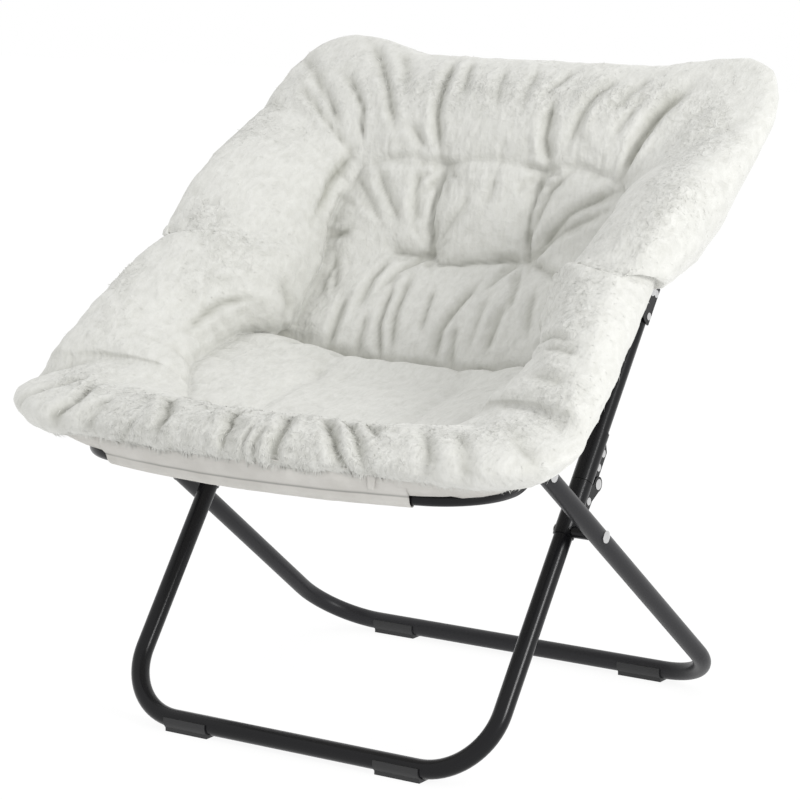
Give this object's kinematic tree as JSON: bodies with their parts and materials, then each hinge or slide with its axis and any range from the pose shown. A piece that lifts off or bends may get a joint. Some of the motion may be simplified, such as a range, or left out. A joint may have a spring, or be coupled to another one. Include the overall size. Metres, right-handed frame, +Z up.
{
  "type": "folding saucer chair",
  "caption": "Low lounge chair that folds flat: crossed steel U legs, knee-hinged back and seat rings, and a padded fur cover.",
  "frame": {"origin": "on the floor, midway between the sides and under the middle of the chair's depth", "axes": "+X to the picture's right across the seat, +Y from the front to the back, +Z up"},
  "size_m": [0.7406, 0.686, 0.7733],
  "materials": {
    "tube": "black satin powder coat",
    "rear_tube": "black satin powder coat, paler in the light",
    "rivet": "bright zinc",
    "plastic": "black moulded plastic",
    "fur": "short ivory faux fur",
    "cloth": "plain woven cloth, beige grey"
  },
  "bodies": {
    "front_leg": {"front_leg_tube": "tube", "lower_knee_bracket_left": "tube", "lower_knee_bracket_right": "tube", "lower_bracket_rivets": "rivet", "knee_pins": "rivet", "cross_rivets": "rivet", "cross_spacers": "tube", "front_foot_left": "plastic", "front_foot_right": "plastic"},
    "rear_leg": {"rear_leg_tube": "rear_tube", "seat_pivot_rivets": "rivet", "seat_pivot_washers": "plastic", "rear_leg_plugs": "plastic", "rear_foot_left": "plastic", "rear_foot_right": "plastic"},
    "back_frame": {"back_ring_tube": "tube", "upper_knee_bracket_left": "tube", "upper_knee_bracket_right": "tube", "upper_bracket_rivets": "rivet", "seat_hinge_bracket_left": "tube", "seat_hinge_bracket_right": "tube", "hinge_bracket_rivets": "rivet", "seat_hinge_pins": "rivet", "back_panel": "fur", "back_roll": "fur", "back_underside": "cloth", "back_side_sleeves": "cloth", "top_sleeve": "cloth"},
    "seat_frame": {"seat_ring_tube": "tube", "seat_tube_plugs": "plastic", "seat_panel": "fur", "seat_front_roll": "fur", "seat_side_roll_left": "fur", "seat_side_roll_right": "fur", "lumbar_fold": "fur", "seat_underside": "cloth", "front_sleeve": "cloth", "front_skirt": "cloth", "seat_side_sleeves": "cloth"}
  },
  "joints": [
    {"name": "knee_fold", "type": "hinge", "parent": "front_leg", "child": "back_frame", "pos_m": [0, 0.02761, 0.29941], "axis": [-1, 0, 0], "range_deg": [0, 180]},
    {"name": "leg_cross", "type": "hinge", "parent": "front_leg", "child": "rear_leg", "pos_m": [0, -0.0416, 0.2581], "axis": [-1, 0, 0], "range_deg": [0, 88.7]},
    {"name": "seat_hinge", "type": "hinge", "parent": "back_frame", "child": "seat_frame", "pos_m": [0, 0.10184, 0.51749], "axis": [-1, 0, 0], "range_deg": [-39.61, 0], "deforming": ["seat_side_roll_left", "seat_side_roll_right", "lumbar_fold"]}
  ],
  "couplings": [
    {"joint": "leg_cross", "follows": "knee_fold", "ratio": 0.49278},
    {"joint": "seat_hinge", "follows": "knee_fold", "ratio": -0.22004}
  ]
}
